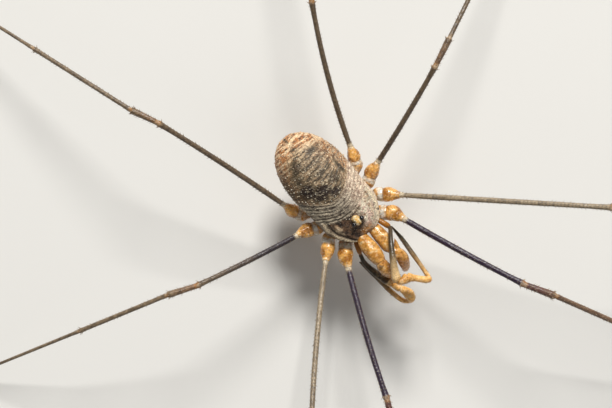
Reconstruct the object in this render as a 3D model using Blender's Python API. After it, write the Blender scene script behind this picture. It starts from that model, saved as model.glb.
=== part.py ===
"""Harvestman: a male with long palps, life size, standing on eight thread-thin legs.

Metres, +Z up.  The animal looks along -Y and its left side is at +X.  The floor is
z = 0 and the origin lies on it, under the middle of the leg span.
"""
import math

import bmesh
import bpy
from mathutils import Vector

MM = 0.001

# Stance
EYES_FROM_ORIGIN = Vector((0.56, -3.28, 0.0)) * MM
BODY_HEIGHT = 5.2 * MM
GAP = 0.25 * MM
FLAT_TURN = math.radians(22.5)

# Trunk, measured from the point midway between the eyes, at the level of its widest rim
FRONT_Y = -0.95 * MM
REAR_Y = 6.72 * MM
WIDEST_Y = 3.30 * MM
FOLD_Y = 0.75 * MM
FOLD_ARCH = 1.00 * MM
TRUNK_HALF_WIDTH = 2.04 * MM
WAIST_HALF_WIDTH = 1.93 * MM
FRONT_HALF_WIDTH = 0.98 * MM
BACK_HEIGHT = 1.62 * MM
FRONT_HEIGHT = 0.34 * MM
BELLY_DEPTH = 1.48 * MM
FRONT_DEPTH = 0.80 * MM
RIM_DEPTH = 0.20 * MM
SEGMENTS = 8
SEGMENT_GROOVE = 0.035 * MM
TRUNK_SIDES = 28

# Eye mound
MOUND_HALF_WIDTH = 0.30 * MM
MOUND_HALF_LENGTH = 0.34 * MM
MOUND_HEIGHT = 0.42 * MM
MOUND_Y = 0.08 * MM
EYE_RADIUS = 0.15 * MM
EYE_SPREAD = 0.31 * MM
EYE_LEVEL = 0.24 * MM
EYE_GAP = 0.06 * MM

# Jaws and palps
JAW_RADIUS = 0.43 * MM
HAND_RADIUS = 0.36 * MM
FINGER_RADIUS = 0.20 * MM
HORN_RADIUS = 0.15 * MM
PALP_RADIUS = 0.25 * MM

# Legs
COXA_ROOT_RADIUS = 0.18 * MM
COXA_RISE = math.radians(12.0)
FEMUR_RADIUS = 0.26 * MM
PATELLA_RADIUS = 0.28 * MM
TIBIA_RADIUS = 0.25 * MM
METATARSUS_RADIUS = 0.25 * MM
TARSUS_TIP_RADIUS = 0.13 * MM
TARSUS_BEND = 3.0 * MM

# Each pair, in millimetres: hip, coxa's inner end, the hip bulb's radius and heading, then the lengths
LEG_PAIRS = {
    1: {"hip": (1.96, -1.10, -0.66), "root": (0.90, -0.36, -1.04), "bulb": 0.46, "hip_heading": 46,
        "rise": 14, "drop": 20, "femur": 9.15, "patella": 2.00, "tibia": 7.40, "metatarsus": 9.00, "tarsus": 11.0},
    2: {"hip": (2.54, -0.10, -0.62), "root": (0.92, 0.36, -1.12), "bulb": 0.42, "hip_heading": 52,
        "rise": 18, "drop": 24, "femur": 14.0, "patella": 2.30, "tibia": 12.0, "metatarsus": 11.5, "tarsus": 15.0},
    3: {"hip": (2.68, 1.65, -0.65), "root": (0.92, 1.06, -1.28), "bulb": 0.42, "hip_heading": 116,
        "rise": 20, "drop": 20, "femur": 7.80, "patella": 1.85, "tibia": 6.20, "metatarsus": 8.00, "tarsus": 11.0},
    4: {"hip": (2.50, 3.12, -1.05), "root": (0.95, 1.78, -1.60), "bulb": 0.38, "hip_heading": 152,
        "rise": 18, "drop": 20, "femur": 10.1, "patella": 1.75, "tibia": 7.60, "metatarsus": 10.5, "tarsus": 12.5},
}

# Each leg: headings from straight ahead towards its own side, and how far femur and foot turn
LEGS = (
    {"side": "left", "pair": 1, "femur": 19.2, "bow": 2, "patella": 27.7, "shank": 24.3, "curl": 18},
    {"side": "right", "pair": 1, "femur": 25.9, "bow": -3, "patella": 29.0, "shank": 27.0, "curl": 22},
    {"side": "left", "pair": 2, "femur": 44.5, "bow": 0, "patella": 48.0, "shank": 52.0, "curl": 34},
    {"side": "right", "pair": 2, "femur": 46.5, "bow": -4, "patella": 50.0, "shank": 55.0, "curl": 28},
    {"side": "left", "pair": 3, "femur": 107.2, "bow": 2, "patella": 111.3, "shank": 111.4, "curl": -16},
    {"side": "right", "pair": 3, "femur": 105.4, "bow": 2, "patella": 114.4, "shank": 109.5, "curl": -20},
    {"side": "left", "pair": 4, "femur": 153.5, "bow": -6, "patella": 150.0, "shank": 152.0, "curl": -24},
    {"side": "right", "pair": 4, "femur": 165.2, "bow": -2, "patella": 157.4, "shank": 164.2, "curl": -30},
)
SIDES = {"left": 1.0, "right": -1.0}

# Colours, linear, with roughness
ORANGE = ((0.62, 0.25, 0.06), 0.35)
BROWN = ((0.17, 0.10, 0.06), 0.60)
TAN = ((0.36, 0.24, 0.14), 0.60)
LEG_BROWN = ((0.14, 0.08, 0.06), 0.45)
OLIVE = ((0.24, 0.17, 0.08), 0.45)
BLACK = ((0.01, 0.01, 0.01), 0.08)


# Scene helpers
def clear_scene():
    for item in list(bpy.data.objects):
        bpy.data.objects.remove(item)


def new_collection(name):
    group = bpy.data.collections.new(name)
    bpy.context.scene.collection.children.link(group)
    return group


def finish_of(name, look):
    colour, roughness = look
    material = bpy.data.materials.new(name)
    material.use_nodes = True
    shader = material.node_tree.nodes["Principled BSDF"]
    shader.inputs["Base Color"].default_value = (*colour, 1.0)
    shader.inputs["Roughness"].default_value = roughness
    return material


def named(data, name, look, group):
    piece = bpy.data.objects.new(name, data)
    data.materials.append(finish_of(name, look))
    group.objects.link(piece)
    return piece


def at_eyes(point):
    """A point in millimetres from the eyes and the trunk's rim, in the model's frame."""
    return Vector(point) * MM + EYES_FROM_ORIGIN + Vector((0.0, 0.0, BODY_HEIGHT))


# Tubes
def tube_curve(name, path, radii, sides=8, twist="MINIMUM"):
    """A capped tube along a path, with a radius for each of its points."""
    curve = bpy.data.curves.new(name, "CURVE")
    curve.dimensions = "3D"
    curve.twist_mode = twist
    curve.bevel_depth = MM
    curve.bevel_resolution = sides // 2 - 2
    curve.render_resolution_u = 0
    curve.use_fill_caps = True
    spline = curve.splines.new("POLY")
    spline.points.add(len(path) - 1)
    for knot, place, radius in zip(spline.points, path, radii):
        knot.co = (*place, 1.0)
        knot.radius = radius / MM
        knot.tilt = FLAT_TURN
    return curve


def smooth_path(controls, steps):
    """A Catmull-Rom path through a few control points, each a tuple that may end in a radius."""
    rows = [Vector(row) for row in controls]
    rows = [2 * rows[0] - rows[1]] + rows + [2 * rows[-1] - rows[-2]]
    path = []
    for index in range(1, len(rows) - 2):
        before, start, end, after = rows[index - 1:index + 3]
        for step in range(steps):
            t = step / steps
            path.append(0.5 * (2 * start + (end - before) * t
                               + (2 * before - 5 * start + 4 * end - after) * t ** 2
                               + (3 * start - before - 3 * end + after) * t ** 3))
    path.append(rows[-2])
    return path


def limb(name, controls, look, group, sides=8, steps=3):
    """A tube through control points (x, y, z, radius), in millimetres from the eyes."""
    rows = smooth_path(controls, steps)
    path = [at_eyes(row[:3]) for row in rows]
    radii = [row[3] * MM for row in rows]
    return named(tube_curve(name, path, radii, sides), name, look, group)


def walk(start, length, headings, pitches, side, steps):
    """Points a set length along a path whose heading and pitch change evenly."""
    place = Vector(start)
    path = [place.copy()]
    for step in range(steps):
        share = (step + 0.5) / steps
        heading = math.radians(headings[0] + (headings[1] - headings[0]) * share)
        pitch = math.radians(pitches[0] + (pitches[1] - pitches[0]) * share)
        level = math.cos(pitch)
        ahead = Vector((side * math.sin(heading) * level, -math.cos(heading) * level, math.sin(pitch)))
        place = place + ahead * (length / steps)
        path.append(place.copy())
    return path


def trimmed(path, at_start, at_end):
    """The path with its first and last points drawn in by the given lengths."""
    cut = list(path)
    cut[0] = path[0] + (path[1] - path[0]).normalized() * at_start
    cut[-1] = path[-1] + (path[-2] - path[-1]).normalized() * at_end
    return cut


# Joined pieces
def as_mesh(piece):
    """A closed mesh of a curve object, with its caps welded."""
    reader = bpy.context.evaluated_depsgraph_get()
    mesh = bpy.data.meshes.new_from_object(piece.evaluated_get(reader))
    mesh.transform(piece.matrix_world)
    shell = bmesh.new()
    shell.from_mesh(mesh)
    bmesh.ops.remove_doubles(shell, verts=shell.verts, dist=1e-7)
    bmesh.ops.recalc_face_normals(shell, faces=shell.faces)
    shell.to_mesh(mesh)
    shell.free()
    return mesh


def combine(piece, tools, operation, workshop):
    """Applies one Boolean of closed mesh objects to a piece and removes them."""
    for tool in tools:
        workshop.objects.link(tool)
        tool.hide_render = True
        tool.display_type = "WIRE"
    step = piece.modifiers.new(operation.lower(), "BOOLEAN")
    step.operation = operation
    step.solver = "EXACT"
    step.operand_type = "COLLECTION"
    step.collection = workshop
    bpy.context.view_layer.update()
    reader = bpy.context.evaluated_depsgraph_get()
    mesh = bpy.data.meshes.new_from_object(piece.evaluated_get(reader))
    piece.modifiers.clear()
    piece.data = mesh
    for tool in tools:
        bpy.data.objects.remove(tool)


def ball(name, centre, radii, turns=16, bands=10):
    """A closed ellipsoid as a loose mesh object."""
    shell = bmesh.new()
    bmesh.ops.create_uvsphere(shell, u_segments=turns, v_segments=bands, radius=1.0)
    bmesh.ops.scale(shell, vec=radii, verts=shell.verts)
    bmesh.ops.translate(shell, vec=centre, verts=shell.verts)
    mesh = bpy.data.meshes.new(name)
    shell.to_mesh(mesh)
    shell.free()
    return bpy.data.objects.new(name, mesh)


# Trunk
def ease(share):
    share = min(max(share, 0.0), 1.0)
    return share * share * (3.0 - 2.0 * share)


def tail_curve(y):
    """Falls from 1 at the widest place to 0 at the rear end."""
    share = max(y - WIDEST_Y, 0.0) / (REAR_Y - WIDEST_Y)
    return math.sqrt(max(1.0 - share ** 2.3, 0.0))


def half_width(y):
    if y > WIDEST_Y:
        return TRUNK_HALF_WIDTH * tail_curve(y)
    behind = ease((y - 1.4 * MM) / (WIDEST_Y - 1.4 * MM))
    wide = WAIST_HALF_WIDTH + (TRUNK_HALF_WIDTH - WAIST_HALF_WIDTH) * behind
    ahead = min(max((y - FRONT_Y) / (0.9 * MM - FRONT_Y), 0.0), 1.0)
    return FRONT_HALF_WIDTH + (wide - FRONT_HALF_WIDTH) * math.sin(ahead * math.pi / 2)


def back_height(y):
    rise = ease((y - FRONT_Y) / (WIDEST_Y - FRONT_Y)) ** 0.7
    return (FRONT_HEIGHT + (BACK_HEIGHT - FRONT_HEIGHT) * rise) * tail_curve(y)


def belly_depth(y):
    rise = ease((y - FRONT_Y) / (WIDEST_Y - FRONT_Y))
    return (FRONT_DEPTH + (BELLY_DEPTH - FRONT_DEPTH) * rise) * tail_curve(y)


def groove(y):
    """Shallow rings where the abdomen's segments meet."""
    first = FOLD_Y + FOLD_ARCH
    pitch = (REAR_Y - first) / SEGMENTS
    phase = (y - first) / pitch
    near = abs(phase - round(phase)) * pitch / (0.12 * MM)
    return SEGMENT_GROOVE * math.exp(-near * near) if y > first - pitch else 0.0


def trunk_ring(station, arch):
    """One cross-section: domed above, hollowed below where the coxae lie."""
    ring = []
    for index in range(TRUNK_SIDES):
        angle = 2 * math.pi * index / TRUNK_SIDES
        across = math.cos(angle)
        up = math.sin(angle)
        hollow = 2.0 - ease((station - 0.8 * MM) / (2.6 * MM))
        if up < 0:
            across = math.copysign(abs(across) ** hollow, across)
        y = station + arch * across * across
        dip = groove(y) * tail_curve(y)
        reach = half_width(y) - dip
        level = back_height(y) - dip if up > 0 else max(belly_depth(y), RIM_DEPTH)
        height = up * level
        if up < 0:
            rim = RIM_DEPTH * min(-up / 0.3, 1.0)
            height = -rim - (level - RIM_DEPTH) * abs(up) ** hollow
        ring.append(Vector((across * reach, y, height + BODY_HEIGHT)) + EYES_FROM_ORIGIN)
    return ring


def trunk_part(name, stations, arches, look, group):
    """A closed loft through cross-sections, with its two ends filled."""
    shell = bmesh.new()
    rings = []
    for station, arch in zip(stations, arches):
        rings.append([shell.verts.new(place) for place in trunk_ring(station, arch)])
    for first, second in zip(rings, rings[1:]):
        for index in range(TRUNK_SIDES):
            after = (index + 1) % TRUNK_SIDES
            shell.faces.new((first[index], first[after], second[after], second[index]))
    for ring in (rings[0], rings[-1]):
        middle = sum((corner.co for corner in ring), Vector()) / TRUNK_SIDES
        middle.y = ring[TRUNK_SIDES // 4].co.y
        hub = shell.verts.new(middle)
        for index in range(TRUNK_SIDES):
            shell.faces.new((ring[index], ring[(index + 1) % TRUNK_SIDES], hub))
    bmesh.ops.recalc_face_normals(shell, faces=shell.faces)
    mesh = bpy.data.meshes.new(name)
    shell.to_mesh(mesh)
    shell.free()
    mesh.shade_smooth()
    return named(mesh, name, look, group)


def make_opisthosoma(group):
    front = FOLD_Y + GAP / 2
    count = 26
    stations = []
    for index in range(count):
        share = math.sin(index / (count - 1) * math.pi / 2)
        stations.append(front + (REAR_Y - 0.02 * MM - front) * share)
    arches = [FOLD_ARCH * (1.0 - ease((place - front) / (2.4 * MM))) for place in stations]
    return trunk_part("opisthosoma", stations, arches, BROWN, group)


def make_prosoma(group, workshop):
    rear = FOLD_Y - GAP / 2
    count = 9
    stations = [FRONT_Y + (rear - FRONT_Y) * index / (count - 1) for index in range(count)]
    arches = [FOLD_ARCH * ease((place - FRONT_Y) / (rear - FRONT_Y)) for place in stations]
    prosoma = trunk_part("prosoma", stations, arches, TAN, group)
    centre = at_eyes((0.0, 0.0, 0.0)) + Vector((0.0, MOUND_Y, back_height(0.0)))
    mound = ball("mound", centre, (MOUND_HALF_WIDTH, MOUND_HALF_LENGTH, MOUND_HEIGHT))
    combine(prosoma, [mound], "UNION", workshop)
    sockets = [ball("socket", eye_centre(side), [EYE_RADIUS + EYE_GAP] * 3) for side in SIDES.values()]
    combine(prosoma, sockets, "DIFFERENCE", workshop)
    return prosoma


def eye_centre(side):
    return at_eyes((0.0, 0.0, 0.0)) + Vector((side * EYE_SPREAD, 0.0, back_height(0.0) + EYE_LEVEL))


def make_eyes(group):
    for name, side in SIDES.items():
        shape = ball("eye", eye_centre(side), [EYE_RADIUS] * 3, 14, 9)
        named(shape.data, "eye_" + name, BLACK, group)
        bpy.data.objects.remove(shape)


# Jaws
def make_chelicera(side, base, hand, horn, group, workshop):
    """The basal article, then the hand with the male's horn on its knee."""
    limb("chelicera_" + side + "_base", base, ORANGE, group, 12)
    whole = limb("chelicera_" + side + "_hand", hand, ORANGE, group, 12)
    spur = limb("spur", horn, ORANGE, group, 8)
    name = whole.name
    mesh = as_mesh(whole)
    spur_mesh = as_mesh(spur)
    bpy.data.objects.remove(whole)
    bpy.data.objects.remove(spur)
    fused = bpy.data.objects.new(name, mesh)
    group.objects.link(fused)
    combine(fused, [bpy.data.objects.new("spur", spur_mesh)], "UNION", workshop)


def make_jaws(group, workshop):
    jaw = JAW_RADIUS / MM
    hand = HAND_RADIUS / MM
    finger = FINGER_RADIUS / MM
    horn = HORN_RADIUS / MM
    right_base = ((-0.50, -1.27, 0.04, 0.28), (-0.52, -1.80, 0.26, jaw), (-0.54, -2.53, 0.38, 0.32))
    right_hand = ((-0.58, -2.86, 0.34, 0.26), (-0.64, -3.30, 0.02, hand), (-0.48, -3.62, -0.75, 0.28),
                  (-0.34, -3.66, -1.35, finger), (-0.32, -3.50, -1.95, 0.09))
    right_horn = ((-0.62, -3.05, 0.20, 0.20), (-0.72, -2.92, 0.66, horn), (-0.76, -2.76, 0.96, 0.06))
    make_chelicera("right", right_base, right_hand, right_horn, group, workshop)
    left_base = ((0.46, -1.25, -0.26, 0.28), (0.45, -1.75, -0.22, jaw), (0.38, -2.38, -0.14, 0.30))
    left_hand = ((0.42, -2.80, -0.02, 0.24), (0.55, -3.25, -0.22, hand), (0.40, -3.80, -0.85, 0.30),
                 (0.24, -4.10, -1.45, finger), (0.16, -4.00, -2.05, 0.09))
    left_horn = ((0.62, -2.98, -0.16, 0.20), (0.82, -2.56, 0.08, horn), (0.97, -2.22, 0.26, 0.06))
    make_chelicera("left", left_base, left_hand, left_horn, group, workshop)


# Palps
def make_palps(group):
    palp = PALP_RADIUS / MM
    limb("palp_left_femur", ((1.18, -1.36, -0.24, 0.20), (1.14, -1.75, 0.45, palp),
                             (0.20, -2.85, 1.20, palp), (-0.55, -4.02, 1.20, 0.22)), OLIVE, group)
    limb("palp_left_tibia", ((-0.36, -4.48, 1.06, 0.22), (-0.06, -4.60, 0.96, 0.29),
                             (0.32, -4.94, 0.86, palp), (0.74, -5.40, 0.70, 0.22)), ORANGE, group)
    limb("palp_left_tarsus", ((0.96, -5.24, 0.22, 0.20), (1.18, -4.10, -0.60, palp),
                              (1.32, -2.90, -1.38, palp), (1.34, -1.65, -2.00, 0.14)), OLIVE, group)
    limb("palp_right_femur", ((-1.04, -1.34, -0.50, 0.20), (-1.36, -2.10, -0.92, palp),
                              (-1.26, -3.00, -1.08, palp), (-1.02, -4.08, -1.00, 0.22)), OLIVE, group)
    limb("palp_right_tibia", ((-0.92, -4.46, -0.86, 0.22), (-0.74, -4.82, -0.66, palp),
                              (-0.64, -5.28, -0.52, 0.28), (-0.66, -5.66, -0.56, 0.20)), ORANGE, group)
    limb("palp_right_tarsus", ((-1.14, -5.54, -1.00, 0.20), (-1.34, -4.40, -1.66, palp),
                               (-1.40, -3.10, -2.06, palp), (-1.54, -1.95, -2.34, 0.14)), OLIVE, group)


# Legs
def make_coxa(name, side, pair, group):
    """Coxa and trochanter: a swelling arm from the underside to a bulb at the hip."""
    root = at_eyes((pair["root"][0] * side, *pair["root"][1:]))
    hip = at_eyes((pair["hip"][0] * side, *pair["hip"][1:]))
    heading = math.radians(pair["hip_heading"])
    ahead = Vector((side * math.sin(heading), -math.cos(heading), math.tan(COXA_RISE))).normalized()
    bulb = pair["bulb"] * MM
    path = [root]
    radii = [COXA_ROOT_RADIUS]
    for along, share in ((-2.0, 0.74), (-1.4, 0.94), (-0.8, 0.88), (-0.1, 1.0), (0.5, 0.88), (0.95, 0.42)):
        path.append(hip + ahead * bulb * along)
        radii.append(bulb * share)
    named(tube_curve(name, path, radii, 10), name, ORANGE, group)


def landing_pitch(height, length):
    """The slope at which a metatarsus brings the tarsus down level on the floor."""
    low = 0.0
    high = math.pi / 3
    for _ in range(40):
        middle = (low + high) / 2
        left = height - length * math.sin(middle) - TARSUS_BEND / 2 * math.tan(middle)
        if left > 0:
            low = middle
        else:
            high = middle
    return math.degrees(middle)


def foot_path(start, pair, headings, side):
    """Metatarsus down to the floor, then the tarsus curving along it, with radii."""
    floor_height = METATARSUS_RADIUS * math.cos(FLAT_TURN)
    pitch = landing_pitch(start.z - floor_height, pair["metatarsus"] * MM)
    path = walk(start, pair["metatarsus"] * MM, (headings[0], headings[0]), (-pitch, -pitch), side, 4)
    radii = [METATARSUS_RADIUS] * len(path)
    steps = 14
    length = pair["tarsus"] * MM
    flat = walk(path[-1], length, headings, (0, 0), side, steps)
    for index, place in enumerate(flat[1:], 1):
        along = length * index / steps
        radius = METATARSUS_RADIUS + (TARSUS_TIP_RADIUS - METATARSUS_RADIUS) * index / steps
        left = max(1.0 - along / TARSUS_BEND, 0.0)
        place.z = radius * math.cos(FLAT_TURN) + TARSUS_BEND / 2 * math.tan(math.radians(pitch)) * left ** 2
        path.append(place)
        radii.append(radius)
    return path, radii


def make_leg(leg, group):
    pair = LEG_PAIRS[leg["pair"]]
    side = SIDES[leg["side"]]
    name = "leg_" + leg["side"] + "_" + str(leg["pair"])
    make_coxa(name + "_coxa", side, pair, group)
    hip = at_eyes((pair["hip"][0] * side, *pair["hip"][1:]))

    turn = (leg["femur"] - leg["bow"], leg["femur"] + leg["bow"])
    femur = walk(hip, pair["femur"] * MM, turn, (pair["rise"] + 4, pair["rise"] - 4), side, 6)
    patella = walk(femur[-1], pair["patella"] * MM, (leg["patella"],) * 2, (2, -10), side, 4)
    slope = (2 - pair["drop"], -2 - pair["drop"])
    tibia = walk(patella[-1], pair["tibia"] * MM, (leg["shank"],) * 2, slope, side, 5)
    foot, foot_radii = foot_path(tibia[-1], pair, (leg["shank"], leg["shank"] + leg["curl"]), side)

    segments = (
        ("_femur", femur, pair["bulb"] * MM + GAP, (0.80, 1.0, 1.0, 1.0, 1.0, 1.05, 1.0), FEMUR_RADIUS),
        ("_patella", patella, GAP / 2, (0.85, 1.0, 1.0, 1.1, 0.9), PATELLA_RADIUS),
        ("_tibia", tibia, GAP / 2, (0.95, 1.0, 1.0, 1.0, 1.0, 1.0), TIBIA_RADIUS),
    )
    for part, path, at_start, shape, radius in segments:
        path = trimmed(path, at_start, GAP / 2)
        curve = tube_curve(name + part, path, [radius * share for share in shape])
        named(curve, name + part, LEG_BROWN, group)
    foot = trimmed(foot, GAP / 2, 0.0)
    curve = tube_curve(name + "_foot", foot, foot_radii, twist="Z_UP")
    named(curve, name + "_foot", LEG_BROWN, group)


def main():
    clear_scene()
    group = new_collection("harvestman")
    workshop = new_collection("cutters")
    make_opisthosoma(group)
    make_prosoma(group, workshop)
    make_eyes(group)
    make_jaws(group, workshop)
    make_palps(group)
    for leg in LEGS:
        make_leg(leg, group)


main()
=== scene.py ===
"""Looks of the harvestman: fine skins over trunk, hips, jaws, palps and legs, with studs, spines and hairs.

Shapes are worked out in millimetres from the point midway between the eyes, with y growing
towards the tail, x towards the animal's left, and z from the level of the trunk's rim.
"""

import math

import bpy
import numpy as np
from mathutils import Matrix, Vector


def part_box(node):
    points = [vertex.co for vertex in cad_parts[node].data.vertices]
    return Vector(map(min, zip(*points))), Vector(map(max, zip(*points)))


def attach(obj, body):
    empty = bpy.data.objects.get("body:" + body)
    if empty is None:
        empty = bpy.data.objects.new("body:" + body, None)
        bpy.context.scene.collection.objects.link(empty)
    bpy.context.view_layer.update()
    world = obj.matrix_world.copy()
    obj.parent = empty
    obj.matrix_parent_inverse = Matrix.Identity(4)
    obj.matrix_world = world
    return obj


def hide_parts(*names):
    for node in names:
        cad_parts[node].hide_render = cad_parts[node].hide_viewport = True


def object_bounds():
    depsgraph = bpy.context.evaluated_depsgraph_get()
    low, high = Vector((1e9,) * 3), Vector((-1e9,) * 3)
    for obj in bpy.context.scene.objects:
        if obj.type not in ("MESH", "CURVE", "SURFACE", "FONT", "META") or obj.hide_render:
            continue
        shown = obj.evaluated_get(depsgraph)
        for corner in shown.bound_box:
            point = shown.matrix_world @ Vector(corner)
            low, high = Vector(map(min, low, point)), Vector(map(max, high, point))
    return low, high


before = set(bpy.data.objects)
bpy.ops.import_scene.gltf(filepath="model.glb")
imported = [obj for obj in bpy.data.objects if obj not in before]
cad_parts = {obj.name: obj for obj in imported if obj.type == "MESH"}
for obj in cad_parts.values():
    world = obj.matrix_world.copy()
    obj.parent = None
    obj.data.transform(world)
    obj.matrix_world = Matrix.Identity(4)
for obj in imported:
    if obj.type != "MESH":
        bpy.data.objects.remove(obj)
cad_low, cad_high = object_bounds()

MM = 0.001
BODY_HEIGHT = 5.2
EYE_RADIUS = 0.15


def node_middle(node):
    low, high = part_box(node)
    return (low + high) / 2


EYES = {side: node_middle("eye_" + side) for side in ("left", "right")}
CENTRE = np.array([(EYES["left"].x + EYES["right"].x) / 2, (EYES["left"].y + EYES["right"].y) / 2,
                   BODY_HEIGHT * MM])
SIDES = {"left": 1.0, "right": -1.0}

# Trunk sizes
FRONT_Y = -0.95
REAR_Y = 6.72
WIDEST_Y = 3.3
FOLD_Y = 0.75
FOLD_ARCH = 0.95
BACK_ARCH = 0.55
SADDLE_Y = 1.9
TRUNK_HALF_WIDTH = 2.04
WAIST_HALF_WIDTH = 1.93
FRONT_HALF_WIDTH = 0.98
BACK_HEIGHT = 1.62
FRONT_HEIGHT = 0.34
BELLY_DEPTH = 1.48
FRONT_DEPTH = 0.8
RIM_DEPTH = 0.2
MOUND = {"y": 0.08, "half_width": 0.29, "half_length": 0.35, "height": 0.42}
TRUNK_SIDES = 256
CROWDED_Y = 5.6
# Shares across of the shield's raised margins and of the gutter between them
OUTER_MARGIN = 0.9
GUTTER = 0.79
INNER_MARGIN = 0.66

# Colours, linear
CREAM = (0.72, 0.59, 0.4)
PALE = (0.56, 0.41, 0.26)
TAN = (0.34, 0.205, 0.11)
BROWN = (0.12, 0.066, 0.036)
DARK = (0.024, 0.014, 0.01)
RUST = (0.5, 0.19, 0.055)
STONE = (0.36, 0.31, 0.23)
ORANGE = (0.74, 0.38, 0.09)
AMBER = (0.42, 0.165, 0.02)
WHITISH = (0.7, 0.67, 0.58)
OLIVE = (0.042, 0.03, 0.011)
BLACK = (0.019, 0.01, 0.016)
VIOLET = (0.027, 0.0125, 0.032)
GREY = (0.138, 0.092, 0.05)
LEG_TAN = (0.21, 0.15, 0.09)
LEG_PALE = (0.38, 0.295, 0.19)
WARM = (0.17, 0.095, 0.052)
DUSK = (0.105, 0.07, 0.042)
PALE_RUST = (0.66, 0.36, 0.17)
TAIL_STREAK = (0.92, 0.68, 0.42)
SADDLE_OLIVE = (0.135, 0.102, 0.058)
SADDLE_SPECK = (0.6, 0.5, 0.35)
FLANK_SHADE = (0.105, 0.052, 0.014)
FOLD_STONE = (0.5, 0.43, 0.32)
FOLD_BROWN = (0.44, 0.3, 0.22)
FOLD_CREAM = (0.82, 0.66, 0.5)
RIDGE_PALE = (0.8, 0.7, 0.52)
SHIELD_PINK = (0.66, 0.47, 0.37)
SHIELD_CREAM = (0.8, 0.7, 0.53)
MOUND_YELLOW = (0.74, 0.45, 0.14)
MOUND_PALE = (0.87, 0.73, 0.46)
HIP_DAB = (0.8, 0.56, 0.28)
HIP_SHADE = (0.22, 0.08, 0.014)
# Pale dabs painted as pebbled highlights on the jaws' upper sides
JAW_HIGHLIGHT = (0.84, 0.62, 0.34)
JAW_SHADE = (0.26, 0.095, 0.014)
PALP_HONEY = (0.74, 0.5, 0.23)
PALP_ORANGE = (0.9, 0.5, 0.15)
PALP_DAB = (0.8, 0.58, 0.32)
EYE_BLACK = (0.002, 0.002, 0.003, 1)
EYE_BROWN = (0.014, 0.01, 0.01, 1)
FLOOR_GREY = (0.72, 0.71, 0.68, 1.0)
STUDIO_WHITE = (1.0, 0.99, 0.97, 1.0)
LAMP_WARM = (1.0, 0.985, 0.96)

rng = np.random.default_rng(11)


# Numbers
def ease(low, high, value):
    """Rises smoothly from 0 at the low end to 1 at the high end."""
    share = np.clip((value - low) / (high - low), 0.0, 1.0)
    return share * share * (3.0 - 2.0 * share)


def fade(low, high, value):
    return 1.0 - ease(low, high, value)


def bell(value, middle, width, power=2):
    """One at the middle, falling to nothing on both sides."""
    return np.exp(-((value - middle) / width) ** power)


def unit(vectors):
    return vectors / np.linalg.norm(vectors, axis=-1, keepdims=True)


def mix(first, second, share):
    """Blends colours (n, 3), or one colour each, by a share for each point."""
    share = np.clip(share, 0.0, 1.0)[..., None]
    return np.asarray(first) * (1.0 - share) + np.asarray(second) * share


def paint(colour, *coats):
    """Lays coats, each a colour and its share, over a colour one after another."""
    for coat, share in coats:
        colour = mix(colour, coat, share)
    return colour


def lattice(cell, seed):
    """A repeatable number from 0 to 1 for each whole-number cell."""
    mask = np.int64(0x7FFFFFFF)
    value = cell[..., 0] * 374761393 + cell[..., 1] * 668265263 + cell[..., 2] * 912271 + seed * 1274126177
    value = value & mask
    value = ((value ^ (value >> 13)) * 1103515245) & mask
    value = ((value ^ (value >> 15)) * 12820163) & mask
    return ((value ^ (value >> 16)) & 0xFFFF) / 65535.0


def cells(points, scale):
    """Places counted in cells, and the whole-number cell of each; scale is in cells a millimetre."""
    place = points * scale + 1000.0
    return place, np.floor(place).astype(np.int64)


def noise(points, scale, seed=0):
    """Smooth noise from 0 to 1."""
    place, cell = cells(points, scale)
    part = place - cell
    part = part * part * (3.0 - 2.0 * part)
    total = np.zeros(place.shape[:-1])
    for corner in range(8):
        step = np.array([corner & 1, corner >> 1 & 1, corner >> 2 & 1])
        weight = np.prod(np.where(step, part, 1.0 - part), axis=-1)
        total += weight * lattice(cell + step, seed)
    return total


def clouds(points, scale, octaves=3, seed=0):
    total = 0.0
    for octave in range(octaves):
        total = total + noise(points, scale * 2.0 ** octave, seed + 17 * octave) / 2.0 ** octave
    return total / (2.0 - 2.0 ** (1 - octaves))


def grains(points, scale, seed=0):
    """Distance to the nearest of scattered seeds, in cells: 0 at a grain's middle."""
    place, cell = cells(points, scale)
    best = np.full(place.shape[:-1], 9.0)
    for index in range(27):
        step = np.array([index % 3 - 1, index // 3 % 3 - 1, index // 9 - 1])
        near = cell + step
        jitter = np.stack([lattice(near, seed + axis * 31) for axis in range(3)], axis=-1)
        best = np.minimum(best, np.linalg.norm(near + jitter - place, axis=-1))
    return best


# Meshes
def to_world(points):
    return np.asarray(points) * MM + CENTRE


def new_object(name, data):
    thing = bpy.data.objects.new(name, data)
    bpy.context.scene.collection.objects.link(thing)
    return thing


def mesh_piece(name, points, faces, uvs, tints, material, replaced):
    """A mesh on the root, from points in millimetres, with a bake map and a colour at each point."""
    mesh = bpy.data.meshes.new(name)
    mesh.from_pydata(to_world(points).tolist(), [], faces)
    mesh.uv_layers.new(name="OFBake").data.foreach_set("uv", np.asarray(uvs, np.float32).ravel())
    tint = mesh.attributes.new("tint", "FLOAT_COLOR", "POINT")
    rgba = np.ones((len(points), 4), np.float32)
    rgba[:, :3] = tints
    tint.data.foreach_set("color", rgba.ravel())
    mesh.materials.append(material)
    mesh.shade_smooth()
    piece = new_object(name, mesh)
    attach(piece, "root")
    if replaced:
        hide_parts(*replaced)


# The share of a bake map's height that each end cap of a grid takes
CAP_BAND = 0.01


def map_height(rows, count):
    """The height on the bake map of rows of a grid with so many rows in all."""
    return CAP_BAND + (1.0 - 2.0 * CAP_BAND) * rows / (count - 1)


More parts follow.
